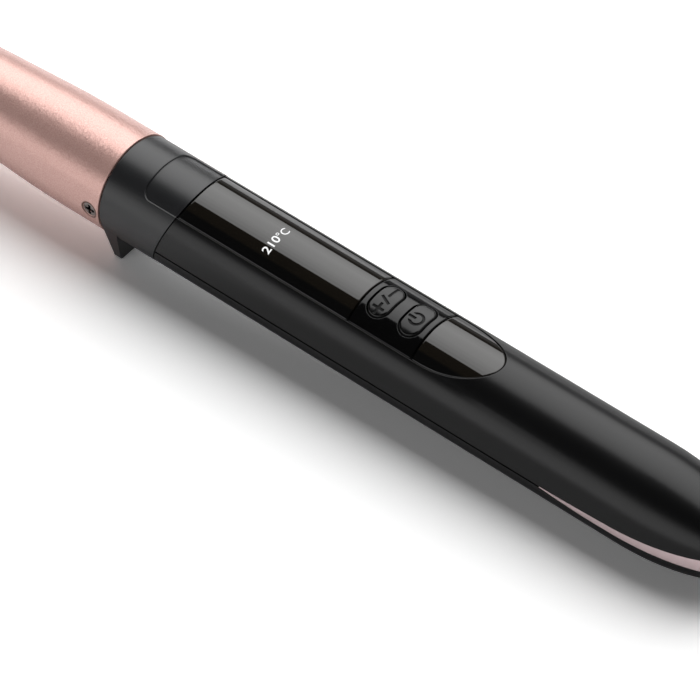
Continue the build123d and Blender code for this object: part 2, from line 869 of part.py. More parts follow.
# All pieces, in the order of assembly, stood on the foot and the tail

pieces = {
    "barrel": make_barrel(),
    "tip_washer": make_tip_washer(),
    "cool_tip": make_cool_tip(),
    "upper_heat_spreader": make_heat_spreader(),
    "lower_heat_spreader": Rot(180, 0, 0) * make_heat_spreader(),
    "heater_plate": make_heater_plate(),
    "mica_sheets": make_mica_sheets(),
    "thermistor": make_thermistor(),
    "thermal_fuse": make_thermal_fuse(),
    "heat_shield": make_heat_shield(),
    "barrel_seat": make_barrel_seat(),
    "barrel_screws": make_barrel_screws(),
    "collar": make_collar(),
    "upper_shell": make_upper_shell(),
    "lower_shell": make_lower_shell(),
    "shell_screws": make_shell_screws(),
    "tail_trim": make_tail_trim(),
    "display_lens": make_display_lens(),
    "button_plate": make_button_plate(),
    "rear_inlay": make_rear_inlay(),
    "temperature_rocker": make_temperature_rocker(),
    "power_button": make_power_button(),
    "rocker_domes": make_rocker_domes(),
    "power_dome": make_power_dome(),
    "control_board": make_control_board(),
    "board_screws": make_board_screws(),
    "display_module": make_display_module(),
    "microcontroller": make_microcontroller(),
    "mains_capacitor": make_mains_capacitor(),
    "triac": make_triac(),
    "heater_terminals": make_heater_terminals(),
    "supply_terminals": make_supply_terminals(),
    "sensor_connector": make_sensor_connector(),
    "heater_leads": make_heater_leads(),
    "sensor_leads": make_sensor_leads(),
    "supply_leads": make_supply_leads(),
    "swivel_sleeve": make_swivel_sleeve(),
    "slip_rings": make_slip_rings(),
    "brush_block": make_brush_block(),
    "brush_contacts": make_brush_contacts(),
}

tilted = Rot(0, rest_tilt(), 0)
front_end = (tilted * pieces["cool_tip"]).bounding_box().min.X
rear_end = (tilted * pieces["swivel_sleeve"]).bounding_box().max.X
tilt = radians(rest_tilt())
stand = Pos(-(front_end + rear_end) / 2, 0, foot_rear * sin(tilt) + foot_drop * cos(tilt)) * tilted

os.makedirs("parts", exist_ok=True)
for name, piece in pieces.items():
    solids = piece if isinstance(piece, list) else [piece]
    placed = [stand * solid for solid in solids]
    export_step(placed[0] if len(placed) == 1 else Compound(children=placed), f"parts/{name}.step")
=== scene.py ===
import json
import math

import bmesh
import bpy
from mathutils import Matrix, Vector


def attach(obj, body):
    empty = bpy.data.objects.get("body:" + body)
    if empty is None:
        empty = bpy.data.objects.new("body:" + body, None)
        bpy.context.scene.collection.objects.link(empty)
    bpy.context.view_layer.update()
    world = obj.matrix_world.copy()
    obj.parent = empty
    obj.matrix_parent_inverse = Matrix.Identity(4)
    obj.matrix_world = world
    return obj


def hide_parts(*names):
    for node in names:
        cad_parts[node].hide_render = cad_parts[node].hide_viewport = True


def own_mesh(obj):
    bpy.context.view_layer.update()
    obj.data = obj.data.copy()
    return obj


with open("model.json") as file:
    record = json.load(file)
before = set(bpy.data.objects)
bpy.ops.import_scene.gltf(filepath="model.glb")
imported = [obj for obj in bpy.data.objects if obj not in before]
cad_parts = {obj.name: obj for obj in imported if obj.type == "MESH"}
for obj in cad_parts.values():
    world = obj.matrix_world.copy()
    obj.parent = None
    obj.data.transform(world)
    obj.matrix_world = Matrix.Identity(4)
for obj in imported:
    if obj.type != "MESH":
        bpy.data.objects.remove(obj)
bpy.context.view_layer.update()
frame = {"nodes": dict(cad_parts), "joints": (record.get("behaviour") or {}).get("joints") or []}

# The barrel: a conical aluminium tube, spun from one blank and sprayed with a rose coat full of fine
# metal flakes. Its rim is rolled in where it meets the collar. A brown ring of painted shade round each side
# screw stands for the gap round its head.

mm = 0.001
seam_to_tail = 169.0 * mm
swivel = next(joint for joint in frame["joints"] if joint["name"] == "cord_swivel")
along = Vector(swivel["axis"])
seam_centre = Vector(swivel["pos_m"]) - along * seam_to_tail
lean = math.atan2(-along.z, along.x)
stand = Matrix.Translation(seam_centre) @ Matrix.Rotation(lean, 4, "Y")


class Wire:
    """One output of a node tree. Arithmetic on wires adds Math nodes."""

    def __init__(self, work, socket):
        self.work = work
        self.socket = socket

    def math(self, operation, *terms):
        return self.work.node("ShaderNodeMath", {"operation": operation}, dict(enumerate(terms)))

    def __add__(self, other):
        return self.math("ADD", self, other)

    def __sub__(self, other):
        return self.math("SUBTRACT", self, other)

    def __rsub__(self, other):
        return self.math("SUBTRACT", other, self)

    def __mul__(self, other):
        return self.math("MULTIPLY", self, other)

    def __truediv__(self, other):
        return self.math("DIVIDE", self, other)

    def __pow__(self, other):
        return self.math("POWER", self, other)

    def __abs__(self):
        return self.math("ABSOLUTE", self)

    __radd__ = __add__
    __rmul__ = __mul__


class Nodework:
    """A node tree whose nodes all come from one method."""

    mix_sockets = {"RGBA": (6, 7, 2), "VECTOR": (4, 5, 1)}

    def __init__(self, tree):
        self.tree = tree

    def feed(self, socket, value):
        if isinstance(value, Wire):
            self.tree.links.new(value.socket, socket)
        else:
            socket.default_value = value

    def node(self, kind, settings=None, sockets=None, output=0):
        made = self.tree.nodes.new(kind)
        for name, value in (settings or {}).items():
            setattr(made, name, value)
        for name, value in (sockets or {}).items():
            self.feed(made.inputs[name], value)
        return Wire(self, made.outputs[output])

    def fade(self, value, start, end):
        """Rises smoothly from 0 at the start to 1 at the end."""
        return self.node("ShaderNodeMapRange", {"interpolation_type": "SMOOTHSTEP"},
                         {"Value": value, "From Min": start, "From Max": end})

    def blend(self, share, first, second, kind="RGBA"):
        """A colour, or a vector, between two of them."""
        low, high, output = self.mix_sockets[kind]
        return self.node("ShaderNodeMix", {"data_type": kind}, {0: share, low: first, high: second}, output)


class Finish(Nodework):
    """A material on one principled shader. Its place is in millimetres along the wand's own axes."""

    def __init__(self, name):
        self.material = bpy.data.materials.new(name)
        self.material.use_nodes = True
        super().__init__(self.material.node_tree)
        self.shader = self.tree.nodes["Principled BSDF"]
        spot = self.node("ShaderNodeTexCoord", output="Object")
        self.place = self.node("ShaderNodeMapping", {"vector_type": "TEXTURE"},
                               {"Vector": spot, "Location": seam_centre, "Rotation": (0, lean, 0),
                                "Scale": (mm, mm, mm)})

    def axis(self, name):
        return self.node("ShaderNodeSeparateXYZ", None, {0: self.place}, name)

    def vectors(self, operation, *terms):
        """Vector maths on wires and fixed vectors."""
        return self.node("ShaderNodeVectorMath", {"operation": operation}, dict(enumerate(terms)))

    def grain(self, size, detail=2.0, stretch=None):
        """Cloudy noise with lumps of about this many millimetres, drawn out by a stretch along the axes."""
        place = self.vectors("MULTIPLY", self.place, stretch) if stretch else self.place
        return self.node("ShaderNodeTexNoise", None, {"Vector": place, "Scale": 1 / size, "Detail": detail})

    def rounding(self, radius, samples=6):
        """The normal of a piece whose sharp edges are rounded by this many millimetres."""
        return self.node("ShaderNodeBevel", {"samples": samples}, {"Radius": radius * mm})

    def relief(self, height, depth, edge):
        """Rounded edges, or a given normal, with a surface that rises and falls by this many millimetres."""
        return self.node("ShaderNodeBump", None,
                         {"Height": height, "Strength": 1.0, "Distance": depth * mm,
                          "Normal": edge if isinstance(edge, Wire) else self.rounding(edge)})

    def surface(self, **values):
        """Fills the shader's sockets, whose names are given with _ for a space."""
        for name, value in values.items():
            self.feed(self.shader.inputs[name.replace("_", " ")], value)


def shade(finish, *nodes):
    """Puts a finish on pieces of the frame."""
    for node in nodes:
        for place in frame["nodes"][node].material_slots:
            place.material = finish.material


rose_dark = (0.6, 0.35, 0.302, 1)
rose_light = (0.76, 0.488, 0.437, 1)
flake_size = 0.13
flake_share = 0.85
flake_tilt = (0.21, 0.21, 0.21)
flake_middle = (0.5, 0.5, 0.5)
rim_rounding = 0.3
side_screw_setback = 2.6
gap_shade_brown = (0.10, 0.045, 0.03, 1)
gap_shade_inside = (1.8, 1.95)
gap_shade_outside = (2.1, 2.45)

rose_coat = Finish("rose_coat")
coat_cloud = rose_coat.grain(size=5.0)
flake = rose_coat.node("ShaderNodeTexVoronoi", None,
                       {"Vector": rose_coat.place, "Scale": 1 / flake_size}, "Color")
flake_tone = rose_coat.node("ShaderNodeSeparateColor", None, {"Color": flake}, "Red")
flake_lean = rose_coat.vectors("MULTIPLY", rose_coat.vectors("SUBTRACT", flake, flake_middle), flake_tilt)
flake_facing = rose_coat.vectors("ADD", flake_lean, rose_coat.rounding(rim_rounding))
# Painted shade: a dark brown ring round each side screw, where the gap round its head lies. The metal is
# dulled there too.
from_screw = ((rose_coat.axis("X") + side_screw_setback) ** 2 + rose_coat.axis("Z") ** 2) ** 0.5
screw_gap_shade = (rose_coat.fade(from_screw, *gap_shade_inside)
          * (1 - rose_coat.fade(from_screw, *gap_shade_outside)))
rose = rose_coat.blend(flake_share * flake_tone + (1 - flake_share) * coat_cloud, rose_dark, rose_light)
rose_coat.surface(Base_Color=rose_coat.blend(screw_gap_shade, rose, gap_shade_brown), Metallic=0.45 - 0.3 * screw_gap_shade,
                  Roughness=0.24 + 0.03 * coat_cloud, Normal=rose_coat.vectors("NORMALIZE", flake_facing))
shade(rose_coat, "barrel")

# The side screws: two countersunk cross-head screws of darkened steel, rolled with a coarse thread.
# They go in through the barrel's flanks and hold it on the seat in front of the collar.


def turned(name, profile, steps=40, weld=1e-7):
    """A closed mesh turned about Z from (radius, height) pairs in millimetres."""
    shape = bmesh.new()
    points = [shape.verts.new((radius * mm, 0, height * mm)) for radius, height in profile]
    edges = [shape.edges.new(pair) for pair in zip(points, points[1:])]
    bmesh.ops.spin(shape, geom=points + edges, cent=(0, 0, 0), axis=(0, 0, 1), angle=math.tau, steps=steps)
    bmesh.ops.remove_doubles(shape, verts=shape.verts, dist=weld)
    bmesh.ops.recalc_face_normals(shape, faces=shape.faces)
    mesh = bpy.data.meshes.new(name)
    shape.to_mesh(mesh)
    shape.free()
    return mesh


class Setting(Nodework):
    """A geometry tree that sets one shape on every vertex of a mesh, with its Z along the facing there.

    Its sizes are in millimetres and become named inputs of the tree."""

    def __init__(self, name, sizes):
        super().__init__(bpy.data.node_groups.new(name, "GeometryNodeTree"))
        face = self.tree.interface
        face.new_socket("Geometry", in_out="INPUT", socket_type="NodeSocketGeometry")
        self.sockets = {size: face.new_socket(size, in_out="INPUT", socket_type="NodeSocketFloat").identifier
                        for size in sizes}
        face.new_socket("Geometry", in_out="OUTPUT", socket_type="NodeSocketGeometry")
        self.entry = self.tree.nodes.new("NodeGroupInput")
        self.name = name
        self.sizes = sizes
        self.turning = None

    def size(self, name):
        return Wire(self, self.entry.outputs[name])

    def vector(self, x, y, z):
        return self.node("ShaderNodeCombineXYZ", None, {"X": x, "Y": y, "Z": z})

    def block(self, x, y, z):
        return self.node("GeometryNodeMeshCube", None, {"Size": self.vector(x, y, z)})

    def blank(self, profile):
        """A turned shape, kept in an object until it has been set out."""
        self.turning = bpy.data.objects.new(self.name + "_blank", turned(self.name + "_blank", profile))
        return self.node("GeometryNodeObjectInfo", None, {"Object": self.turning}, "Geometry")

    def raised(self, geometry, height):
        return self.node("GeometryNodeTransform", None,
                         {"Geometry": geometry, "Translation": self.vector(0.0, 0.0, height)})

    def joined(self, *geometries):
        made = self.tree.nodes.new("GeometryNodeJoinGeometry")
        for geometry in geometries:
            self.feed(made.inputs[0], geometry)
        return Wire(self, made.outputs[0])

    def set_out(self, shape, places, facings, finish):
        """Sets the shape on the places and gives back a finished object in the wand's frame."""
        facing = self.node("GeometryNodeInputNamedAttribute", {"data_type": "FLOAT_VECTOR"},
                           {"Name": "facing"})
        turn = self.node("FunctionNodeAlignRotationToVector", {"axis": "Z"}, {"Vector": facing})
        copies = self.node("GeometryNodeInstanceOnPoints", None,
                           {"Points": Wire(self, self.entry.outputs[0]), "Instance": shape, "Rotation": turn})
        solid = self.node("GeometryNodeRealizeInstances", None, {0: copies})
        shaded = self.node("GeometryNodeSetMaterial", None, {"Geometry": solid, "Material": finish.material})
        result = self.tree.nodes.new("NodeGroupOutput")
        self.feed(result.inputs[0], shaded)
        points = bpy.data.meshes.new(self.name)
        points.from_pydata([stand @ (Vector(place) * mm) for place in places], [], [])
        directions = points.attributes.new("facing", "FLOAT_VECTOR", "POINT")
        for index, direction in enumerate(facings):
            directions.data[index].vector = stand.to_3x3() @ Vector(direction)
        made = bpy.data.objects.new(self.name, points)
        bpy.context.scene.collection.objects.link(made)
        modifier = made.modifiers.new("setting", "NODES")
        modifier.node_group = self.tree
        for name, value in self.sizes.items():
            modifier[self.sockets[name]] = value * mm
        seen = made.evaluated_get(bpy.context.evaluated_depsgraph_get())
        made.data = bpy.data.meshes.new_from_object(seen)
        made.modifiers.clear()
        if self.turning:
            bpy.data.objects.remove(self.turning)
        return made


def cross_head_screws(name, profile, sizes, places, facings, finish, turn_points=16, ridge_sides=4):
    """Turned screws with a sunk cross in the head and a rolled thread on the shank."""
    work = Setting(name, sizes)
    cross_length = work.size("Cross length")
    cross_width = work.size("Cross width")
    cross_height = 2 * work.size("Cross depth")
    cut = work.tree.nodes.new("GeometryNodeMeshBoolean")
    cut.operation = "DIFFERENCE"
    cut.solver = "MANIFOLD"
    work.feed(cut.inputs[0], work.blank(profile))
    for reach, width in ((cross_length, cross_width), (cross_width, cross_length)):
        arm = work.block(reach, width, cross_height)
        work.feed(cut.inputs[1], work.raised(arm, work.size("Head top")))
    turns = work.size("Thread length") / work.size("Thread pitch")
    coil = work.node("GeometryNodeCurveSpiral", None,
                     {"Resolution": turn_points, "Rotations": turns, "Height": work.size("Thread length"),
                      "Start Radius": work.size("Thread radius"), "End Radius": work.size("Thread radius")})
    ridge = work.node("GeometryNodeCurvePrimitiveCircle", None,
                      {"Resolution": ridge_sides, "Radius": work.size("Thread ridge")})
    thread = work.node("GeometryNodeCurveToMesh", None,
                       {"Curve": coil, "Profile Curve": ridge, "Fill Caps": True})
    screw = work.joined(Wire(work, cut.outputs[0]), work.raised(thread, work.size("Thread start")))
    return work.set_out(screw, places, facings, finish)


worn_dark = (0.20, 0.175, 0.165, 1)
worn_light = (0.30, 0.265, 0.25, 1)
painted_cross_shade = (0.006, 0.005, 0.005, 1)
cross_floor = (11.95, 12.22)
darkened_steel = Finish("darkened_steel")
scratch = darkened_steel.grain(size=0.25, detail=3.0)
worn_face = darkened_steel.blend(scratch, worn_dark, worn_light)
# Painted shade: the sunk cross in each screw head is painted near-black.
above_cross = darkened_steel.fade(abs(darkened_steel.axis("Y")), *cross_floor)
darkened_steel.surface(Base_Color=darkened_steel.blend(above_cross, painted_cross_shade, worn_face), Metallic=1.0,
                       Roughness=0.34 + 0.12 * scratch,
                       Normal=darkened_steel.relief(scratch, depth=0.01, edge=0.08))

barrel_radius = 12.5
side_screw_sink = 0.15
side_screw_profile = ((0, -0.02), (0.5, -0.02), (1.45, -0.05), (1.78, -0.12), (1.85, -0.2), (0.95, -1.0),
                      (0.72, -1.15), (0.72, -4.6), (0, -5.35))
side_screw_sizes = {"Cross length": 2.7, "Cross width": 0.8, "Cross depth": 0.72, "Head top": 0.0,
                    "Thread radius": 0.76, "Thread ridge": 0.15, "Thread pitch": 0.7, "Thread length": 3.4,
                    "Thread start": -4.7}
side_screw_facings = [(0, -1, 0), (0, 1, 0)]
side_screw_level = barrel_radius - side_screw_sink
side_screw_places = [(-side_screw_setback, -side_screw_level, 0),
                     (-side_screw_setback, side_screw_level, 0)]
side_screws = cross_head_screws("side_screws", side_screw_profile, side_screw_sizes, side_screw_places,
                                side_screw_facings, darkened_steel)
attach(side_screws, "wand")
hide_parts("barrel_screws")

# The cool tip and its washer: a domed cap moulded from heat-proof charcoal nylon, plugged into the
# barrel's narrow end over a ring of pressed mica paper that keeps the heat back.

charcoal_dark = (0.0088, 0.0091, 0.0102, 1)
charcoal_light = (0.0137, 0.0140, 0.0154, 1)
grain_share = 0.6
charcoal = Finish("charcoal_nylon")
charcoal_grain = charcoal.grain(size=0.18, detail=4.0)
charcoal_cloud = charcoal.grain(size=6.0)
charcoal_tone = grain_share * charcoal_grain + (1 - grain_share) * charcoal_cloud
charcoal.surface(Base_Color=charcoal.blend(charcoal_tone, charcoal_dark, charcoal_light),
                 Roughness=0.29 + 0.06 * charcoal_grain, IOR=1.55,
                 Normal=charcoal.relief(charcoal_grain, depth=0.012, edge=0.25))
shade(charcoal, "cool_tip")


def grained(name, size, detail, dark, light, rough, spread, depth, edge, stretch=None, **fixed):
    """A finish with one grain that blends two colours, varies the gloss and raises the surface."""
    finish = Finish(name)
    grain = finish.grain(size, detail, stretch)
    finish.surface(Base_Color=finish.blend(grain, dark, light), Roughness=rough + spread * grain,
                   Normal=finish.relief(grain, depth, edge), **fixed)
    return finish


mica = grained("mica_paper", size=0.9, detail=6.0, dark=(0.44, 0.33, 0.20, 1), light=(0.72, 0.60, 0.42, 1),
               rough=0.38, spread=0.2, depth=0.02, edge=0.05)
shade(mica, "tip_washer", "mica_sheets", "heat_shield")

# The heater: a ceramic strip between two mica sheets, clamped by two extruded aluminium channels
# that press against the barrel. A glass thermistor and a tinned thermal fuse lie on the channels.

aluminium = grained("extruded_aluminium", size=0.3, detail=3.0, stretch=(0.02, 1.0, 1.0),
                    dark=(0.62, 0.62, 0.63, 1), light=(0.80, 0.80, 0.81, 1), Metallic=1.0,
                    rough=0.28, spread=0.18, depth=0.015, edge=0.1)
shade(aluminium, "upper_heat_spreader", "lower_heat_spreader")

ceramic = grained("heater_ceramic", size=0.4, detail=5.0, dark=(0.70, 0.68, 0.63, 1),
                  light=(0.82, 0.81, 0.77, 1), rough=0.5, spread=0.15, depth=0.01, edge=0.1)
shade(ceramic, "heater_plate")

glass_dark = (0.10, 0.16, 0.09, 1)
glass_light = (0.16, 0.23, 0.13, 1)
sensor_glass = Finish("sensor_glass")
glass_drip = sensor_glass.grain(size=1.2)
sensor_glass.surface(Base_Color=sensor_glass.blend(glass_drip, glass_dark, glass_light),
                     Roughness=0.08 + 0.06 * glass_drip, Coat_Weight=0.5)
shade(sensor_glass, "thermistor")

tinned_steel = grained("tinned_steel", size=0.7, detail=4.0, dark=(0.50, 0.50, 0.49, 1),
                       light=(0.68, 0.68, 0.66, 1), Metallic=1.0, rough=0.25, spread=0.15, depth=0.01,
                       edge=0.1)
shade(tinned_steel, "thermal_fuse")

# The seat: a thick sleeve of mineral-filled moulding that carries the barrel in front, the collar
# in its middle and the two shells behind. Only its edge shows in the seam at the collar, and it is coloured
# near-black as painted shade for that seam.


def grey(level):
    """A colour with no hue."""
    return (level, level, level, 1)


# Painted shade: the seat is near-black so that the seam where its edge shows reads as shade.
seat_moulding = grained("seat_moulding", size=0.35, detail=5.0, dark=grey(0.012),
                        light=(0.026, 0.025, 0.024, 1), rough=0.6, spread=0.12, depth=0.02, edge=0.1)
shade(seat_moulding, "barrel_seat")

# The collar: one charcoal nylon moulding with the keel it rests on. A shallow tongue is sunk into its
# top, in line with the inlay, and its slanted rear rim meets the shells in a fine seam.

shade(charcoal, "collar")

# The shells: two long half mouldings in satin black, lightly grained by the mould. Screws from below
# pull them together along the parting line, with the seat in front and the cord outlet behind.

satin_dark = (0.0022, 0.0022, 0.0024, 1)
satin_light = (0.0038, 0.0038, 0.0041, 1)
parting_height = -0.95
parting_line = (0.25, 0.32)
lip_heights = (5.0, 7.0)
lower_rounding = 0.1
lip_rounding = 0.2
shoulder_reach = (8.2, 9.9)
shoulder_end = (97.0, 108.0)
shoulder_depth = 0.13

satin = Finish("satin_black")
satin_grain = satin.grain(size=0.12, detail=3.0)
satin_cloud = satin.grain(size=14.0)
satin_tone = grain_share * satin_grain + (1 - grain_share) * satin_cloud
# Painted shade: a black line with no reflection along the parting line, where the gap between the shells
# lies.
painted_parting_shade = 1 - satin.fade(abs(satin.axis("Z") - parting_height), *parting_line)
by_inlay = satin.fade(satin.axis("Z"), *lip_heights)
satin_edges = satin.blend(by_inlay, satin.rounding(lower_rounding), satin.rounding(lip_rounding), "VECTOR")
from_inlay = satin.node("ShaderNodeMapRange", None,
                        {"Value": abs(satin.axis("Y")), "From Min": shoulder_reach[0],
                         "From Max": shoulder_reach[1]})
along_inlay = 1 - satin.fade(satin.axis("X"), *shoulder_end)
shoulder_drop = (1 - from_inlay) ** 2 * by_inlay * along_inlay
satin_form = satin.relief(1 - shoulder_drop, shoulder_depth, satin_edges)
satin.surface(Base_Color=satin.blend(painted_parting_shade, satin.blend(satin_tone, satin_dark, satin_light), grey(0.0)),
              Metallic=painted_parting_shade, Roughness=0.23 + 0.04 * satin_grain + 0.02 * satin_cloud, IOR=1.43,
              Normal=satin.relief(satin_grain, depth=0.005, edge=satin_form))
shade(satin, "upper_shell", "lower_shell")

# The shell screws: two pan-head screws in deep pockets under the handle, driven into posts of the
# upper shell. They are zinc-plated and have a coarse thread for plastic.

zinc = grained("zinc_plating", size=0.5, detail=4.0, dark=(0.46, 0.46, 0.45, 1),
               light=(0.62, 0.62, 0.60, 1), Metallic=1.0, rough=0.28, spread=0.14, depth=0.008, edge=0.12)

pan_height = 0.36
pan_outline = ((0, 1), (0.28, 0.98), (0.42, 0.85), (0.48, 0.6), (0.5, 0.3), (0.5, 0))
shank_outline = ((0.38, 0), (0.38, 0.9), (0, 1))


def pan_head_screws(name, head, shank, length, places):
    """Zinc-plated screws driven from below, with the undersides of their heads at the places."""
    profile = [(head * out, head * pan_height * up) for out, up in pan_outline]
    profile += [(shank * out, -length * down) for out, down in shank_outline]
    sizes = {"Cross length": head * 0.55, "Cross width": head * 0.14, "Cross depth": head * 0.22,
             "Head top": head * pan_height, "Thread radius": shank * 0.41, "Thread ridge": shank * 0.09,
             "Thread pitch": shank * 0.4, "Thread length": length * 0.8, "Thread start": -length * 0.92}
    return cross_head_screws(name, profile, sizes, places, [(0, 0, -1)] * len(places), zinc)


pocket_floor = -6.95
shell_screws = pan_head_screws("closing_screws", head=4.4, shank=2.4, length=12.0,
                               places=[(116.5, 0, pocket_floor), (134.0, 0, pocket_floor)])
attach(shell_screws, "wand")
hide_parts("shell_screws")

# The trim: a rose-plated crescent moulding let in along the parting line, which widens towards the
# tail and ends in a ring round the cord outlet. The plating is bright but not quite mirror-smooth.

rose_plating = grained("rose_plating", size=2.5, detail=2.0, dark=(0.95, 0.735, 0.745, 1),
                       light=(1.0, 0.79, 0.80, 1), Metallic=0.62, rough=0.20, spread=0.06, depth=0.004,
                       edge=0.12)
shade(rose_plating, "tail_trim")

# The inlay: three smoked acrylic mouldings, polished and hard-coated, sunk a little into the upper
# shell. The front one is the window over the readout, the middle one frames the keys.

smoke_dark = (0.0052, 0.0040, 0.0026, 1)
smoke_light = (0.0085, 0.0064, 0.0040, 1)
print_black = grey(0.0012)
window_half = (5.6, 6.2)
smoked_acrylic = Finish("smoked_acrylic")
polish_wave = smoked_acrylic.grain(size=9.0, detail=1.0)
wipe_mark = smoked_acrylic.grain(size=1.1, detail=4.0, stretch=(0.2, 1.0, 1.0))
border = smoked_acrylic.fade(abs(smoked_acrylic.axis("Y")), *window_half)
smoke = smoked_acrylic.blend(polish_wave, smoke_dark, smoke_light)
smoked_acrylic.surface(Base_Color=smoked_acrylic.blend(border, smoke, print_black),
                       Roughness=0.035 + 0.025 * wipe_mark, IOR=1.66,
                       Normal=smoked_acrylic.relief(polish_wave, depth=0.003, edge=0.2))
shade(smoked_acrylic, "display_lens", "rear_inlay")

plate_black = grained("plate_black", size=2.0, detail=2.0, dark=(0.0010, 0.0010, 0.0011, 1),
                      light=(0.0020, 0.0020, 0.0021, 1), IOR=1.45, rough=0.07, spread=0.04, depth=0.003,
                      edge=0.2)
shade(plate_black, "button_plate")

# The readout: lit figures that show the heat in degrees, wrapped on the face of the window so that they
# read from any side. The figures are bold, the degree sign and unit are lighter.

readout_radius = 12.12
readout_depth = 0.03
readout_front = 42.15
readout_height = 2.1


def lit_figures(text, start, end, weight):
    """A mesh of figures between two distances round the handle, wrapped on the window."""
    letters = bpy.data.curves.new("letters", "FONT")
    letters.body = text
    letters.offset = weight
    letters.extrude = 1.0
    draft = bpy.data.objects.new("letters", letters)
    bpy.context.scene.collection.objects.link(draft)
    mesh = bpy.data.meshes.new_from_object(draft.evaluated_get(bpy.context.evaluated_depsgraph_get()))
    bpy.data.objects.remove(draft)
    across = [vertex.co.x for vertex in mesh.vertices]
    up = [vertex.co.y for vertex in mesh.vertices]
    left, right = min(across), max(across)
    foot, top = min(up), max(up)
    for vertex in mesh.vertices:
        share = (vertex.co.x - left) / (right - left)
        rise = (vertex.co.y - foot) / (top - foot)
        angle = (start + (end - start) * share) / readout_radius
        radius = readout_radius + readout_depth * vertex.co.z / 2
        spot = Vector((readout_front + readout_height * (1 - rise), -radius * math.sin(angle),
                       radius * math.cos(angle)))
        vertex.co = stand @ (spot * mm)
    return mesh


lit_dim = (0.88, 0.90, 0.92, 1)
lit_bright = grey(1.0)
lit_white = Finish("lit_figures")
segment_tone = lit_white.grain(size=0.6)
lit_white.surface(Base_Color=grey(0.05), Roughness=0.3, Emission_Strength=1.0,
                  Emission_Color=lit_white.blend(segment_tone, lit_dim, lit_bright))
for name, text, start, end, weight in (("readout_figures", "210", 5.4, 0.65, 0.01),
                                       ("readout_unit", "°C", 0.45, -2.5, 0.0)):
    figures = bpy.data.objects.new(name, lit_figures(text, start, end, weight))
    bpy.context.scene.collection.objects.link(figures)
    figures.data.materials.append(lit_white.material)
    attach(figures, "wand")

# The keys: a plus and minus rocker and a power key, moulded in black with sunk signs and polished.
# Rubber switch domes under them push them back up.

key_dark = grey(0.0012)
key_light = grey(0.0028)
sign_floor = (12.1, 12.2)
key_black = Finish("key_black")
key_wear = key_black.grain(size=1.6, detail=3.0)
from_axis = (key_black.axis("Y") ** 2 + key_black.axis("Z") ** 2) ** 0.5
sunk = 1 - key_black.fade(from_axis, *sign_floor)
key_black.surface(Base_Color=key_black.blend(key_wear, key_dark, key_light), IOR=1.45,
                  Roughness=0.12 + 0.06 * key_wear + 0.6 * sunk,
                  Normal=key_black.relief(key_wear, depth=0.004, edge=0.12))
shade(key_black, "temperature_rocker", "power_button")

board_top = 6.0
dome_profile = ((0, 2.0), (0.8, 2.0), (1.02, 1.93), (1.1, 1.75), (1.5, 0.45), (1.58, 0.3), (1.8, 0.25),
                (1.8, 0), (1.3, 0), (1.2, 0.3), (0.72, 1.2), (0.6, 1.3), (0.5, 1.05), (0, 1.05))
rocker_dome_places = [(73.3, -3.2, board_top), (73.3, 3.2, board_top)]
power_dome_places = [(82.0, 0, board_top)]
dome_rubber = grained("dome_rubber", size=0.5, detail=4.0, dark=(0.36, 0.36, 0.35, 1),
                      light=(0.48, 0.48, 0.46, 1), rough=0.55, spread=0.15, depth=0.01, edge=0.15)


def switch_domes(name, node, places):
    """Hollow domes on the board that stand for a node of the frame."""
    work = Setting(name, {})
    domes = work.set_out(work.blank(dome_profile), places, [(0, 0, 1)] * len(places), dome_rubber)
    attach(domes, "wand")
    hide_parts(node)
    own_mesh(domes)


switch_domes("rocker_switch_domes", "rocker_domes", rocker_dome_places)
switch_domes("power_switch_dome", "power_dome", power_dome_places)

# The control board: glass-fibre laminate with copper tracks under green lacquer, held to posts of the
# upper shell by two small screws. Its readout module, controller and power parts are soldered on.

lacquer_dark = (0.010, 0.085, 0.035, 1)
lacquer_light = (0.030, 0.18, 0.075, 1)
track_share = 0.8
lacquer = Finish("board_lacquer")
weave = lacquer.grain(size=0.35)
track = lacquer.node("ShaderNodeTexBrick", {"offset": 0.5, "squash": 1.0},
                     {"Vector": lacquer.place, "Scale": 0.5, "Mortar Size": 0.05, "Mortar Smooth": 0.3},
                     "Fac")
lacquer_tone = track_share * track + (1 - track_share) * weave
lacquer.surface(Base_Color=lacquer.blend(lacquer_tone, lacquer_dark, lacquer_light),
                Roughness=0.28 + 0.12 * weave, Normal=lacquer.relief(track, depth=0.03, edge=0.1))
shade(lacquer, "control_board")

board_under = 4.4
board_screws = pan_head_screws("board_fixings", head=3.6, shank=1.8, length=4.65,
                               places=[(52.0, 0, board_under), (107.0, 0, board_under)])
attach(board_screws, "wand")
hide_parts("board_screws")

epoxy = grained("moulded_epoxy", size=0.15, detail=4.0, dark=grey(0.014), light=grey(0.028),
                rough=0.5, spread=0.15, depth=0.012, edge=0.12)
shade(epoxy, "microcontroller", "triac", "brush_block")

readout_face = grained("readout_face", size=0.8, detail=3.0, dark=(0.040, 0.040, 0.044, 1),
                       light=(0.062, 0.062, 0.068, 1), rough=0.2, spread=0.1, depth=0.004, edge=0.15)
shade(readout_face, "display_module")

film_yellow = grained("film_capacitor_case", size=1.4, detail=3.0, dark=(0.62, 0.46, 0.06, 1),
                      light=(0.76, 0.60, 0.13, 1), rough=0.32, spread=0.1, depth=0.008, edge=0.2)
shade(film_yellow, "mains_capacitor")

white_nylon = grained("white_nylon", size=0.4, detail=3.0, dark=(0.74, 0.73, 0.69, 1),
                      light=(0.84, 0.83, 0.79, 1), rough=0.45, spread=0.12, depth=0.006, edge=0.15)
shade(white_nylon, "sensor_connector")

brass = grained("turned_brass", size=0.25, detail=3.0, stretch=(1.0, 0.15, 0.15),
                dark=(0.62, 0.43, 0.17, 1), light=(0.78, 0.60, 0.30, 1), Metallic=1.0,
                rough=0.22, spread=0.16, depth=0.008, edge=0.1)
shade(brass, "heater_terminals", "supply_terminals", "slip_rings", "brush_contacts")

